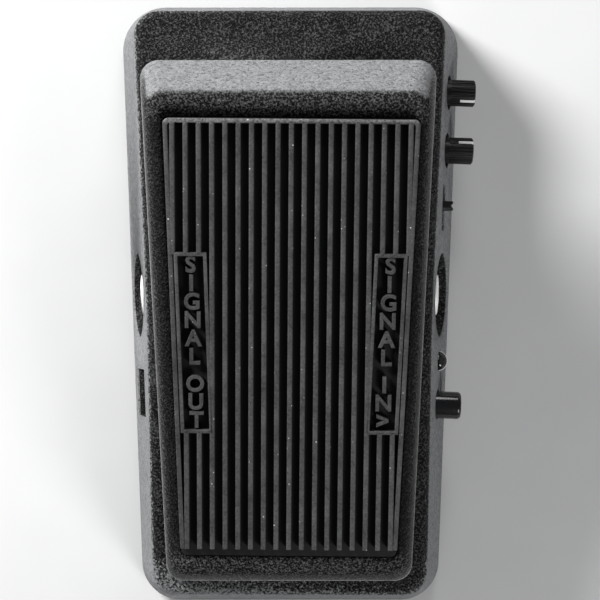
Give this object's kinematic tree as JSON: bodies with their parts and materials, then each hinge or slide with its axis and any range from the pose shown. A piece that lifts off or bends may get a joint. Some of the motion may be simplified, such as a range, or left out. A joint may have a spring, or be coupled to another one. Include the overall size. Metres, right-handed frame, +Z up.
{
  "type": "rocker effect pedal",
  "caption": "Compact foot pedal with a rocking treadle geared to a potentiometer, side knobs, slide switch, push button and sockets.",
  "frame": {"origin": "on the floor, in the middle of the whole footprint, knobs included; the case's own middle plane is at X = -1.57 mm", "axes": "+Y to the toe end, +X to the side with the knobs, +Z up"},
  "size_m": [0.0869, 0.148, 0.0625],
  "materials": {
    "case_paint": "two-tone powder coat: silver-grey hammertone walls, black crinkle deck",
    "treadle_paint": "black crinkle powder coat with a silver-grey hammertone toe face",
    "mat_rubber": "matt moulded rubber",
    "soft_rubber": "matt rubber",
    "plate_steel": "zinc plated sheet",
    "fastener_steel": "zinc plated",
    "shaft_steel": "ground steel",
    "nickel": "bright nickel plate",
    "nylon": "natural nylon",
    "black_plastic": "moulded black plastic",
    "switch_blue": "moulded blue plastic",
    "knob_plastic": "satin black plastic",
    "pointer_white": "white inlay",
    "button_gloss": "gloss black plastic",
    "lamp_clear": "water clear lens",
    "can_steel": "plated pot can",
    "board_green": "solder resist on glass laminate",
    "inductor_grey": "dipped red core",
    "capacitor_sleeve": "printed sleeve with aluminium top",
    "film_box": "moulded box",
    "resistor_coat": "coated film",
    "chip_epoxy": "black epoxy",
    "wire_pvc": "PVC insulation"
  },
  "bodies": {
    "chassis": {"case": "case_paint", "base_plate": "plate_steel", "base_screws": "fastener_steel", "rubber_feet": "soft_rubber", "pivot_bushings": "nylon", "heel_bumpers": "soft_rubber", "toe_bumpers": "soft_rubber", "main_pot_housing": "can_steel", "main_pot_nut": "fastener_steel", "pot_bracket": "plate_steel", "pot_bracket_screws": "fastener_steel", "toe_switch_body": "switch_blue", "toe_switch_nut": "black_plastic", "q_pot_housing": "black_plastic", "volume_pot_housing": "black_plastic", "range_switch_body": "black_plastic", "boost_switch_body": "black_plastic", "boost_lamp": "lamp_clear", "input_jack": "black_plastic", "input_jack_nut": "nickel", "output_jack": "black_plastic", "output_jack_nut": "nickel", "jack_lugs": "nickel", "power_inlet": "black_plastic", "power_inlet_pin": "nickel", "main_board": "board_green", "board_screws": "fastener_steel", "control_board": "board_green", "boost_board": "board_green", "inductor": "inductor_grey", "electrolytic_capacitors": "capacitor_sleeve", "film_capacitors": "film_box", "resistors": "resistor_coat", "op_amp_chips": "chip_epoxy", "wiring_leads": "wire_pvc", "ribbon_cable": "wire_pvc"},
    "treadle": {"treadle": "treadle_paint", "treadle_mat": "mat_rubber", "pivot_shaft": "shaft_steel", "pivot_set_screws": "fastener_steel", "gear_sector": "nylon", "gear_sector_screws": "fastener_steel", "toe_striker_pad": "soft_rubber"},
    "pot_rotor": {"pinion": "nylon", "main_pot_shaft": "shaft_steel"},
    "toe_plunger": {"toe_plunger": "nickel"},
    "q_control": {"q_knob": "knob_plastic", "q_knob_pointer": "pointer_white", "q_pot_shaft": "shaft_steel"},
    "volume_control": {"volume_knob": "knob_plastic", "volume_knob_pointer": "pointer_white", "volume_pot_shaft": "shaft_steel"},
    "range_slider": {"range_slider": "black_plastic"},
    "boost_button": {"boost_button": "button_gloss"}
  },
  "joints": [
    {"name": "treadle_rock", "type": "hinge", "parent": "chassis", "child": "treadle", "pos_m": [-0.00157, -0.001, 0.038], "axis": [-1, 0, 0], "range_deg": [0, 18]},
    {"name": "main_pot_turn", "type": "hinge", "parent": "chassis", "child": "pot_rotor", "pos_m": [-0.00157, 0.02947, 0.01666], "axis": [1, 0, 0], "range_deg": [0, 112]},
    {"name": "toe_switch_press", "type": "slide", "parent": "chassis", "child": "toe_plunger", "axis": [0, 0, -1], "range_m": [0, 0.002], "stiffness_N_per_m": 1200, "springref_m": -0.0012},
    {"name": "q_turn", "type": "hinge", "parent": "chassis", "child": "q_control", "pos_m": [0.03716, 0.0509, 0.0146], "axis": [0.9993, -0.0385, 0], "range_deg": [-194, 106]},
    {"name": "volume_turn", "type": "hinge", "parent": "chassis", "child": "volume_control", "pos_m": [0.03662, 0.0369, 0.0146], "axis": [0.9993, -0.0385, 0], "range_deg": [-115, 185]},
    {"name": "range_slide", "type": "slide", "parent": "chassis", "child": "range_slider", "axis": [0.0385, 0.9993, 0], "range_m": [-0.0042, 0.0033]},
    {"name": "boost_press", "type": "slide", "parent": "chassis", "child": "boost_button", "axis": [-0.9993, 0.0385, 0], "range_m": [0, 0.0015], "stiffness_N_per_m": 900, "springref_m": -0.0008}
  ],
  "couplings": [
    {"joint": "main_pot_turn", "follows": "treadle_rock", "ratio": 6.1538}
  ]
}
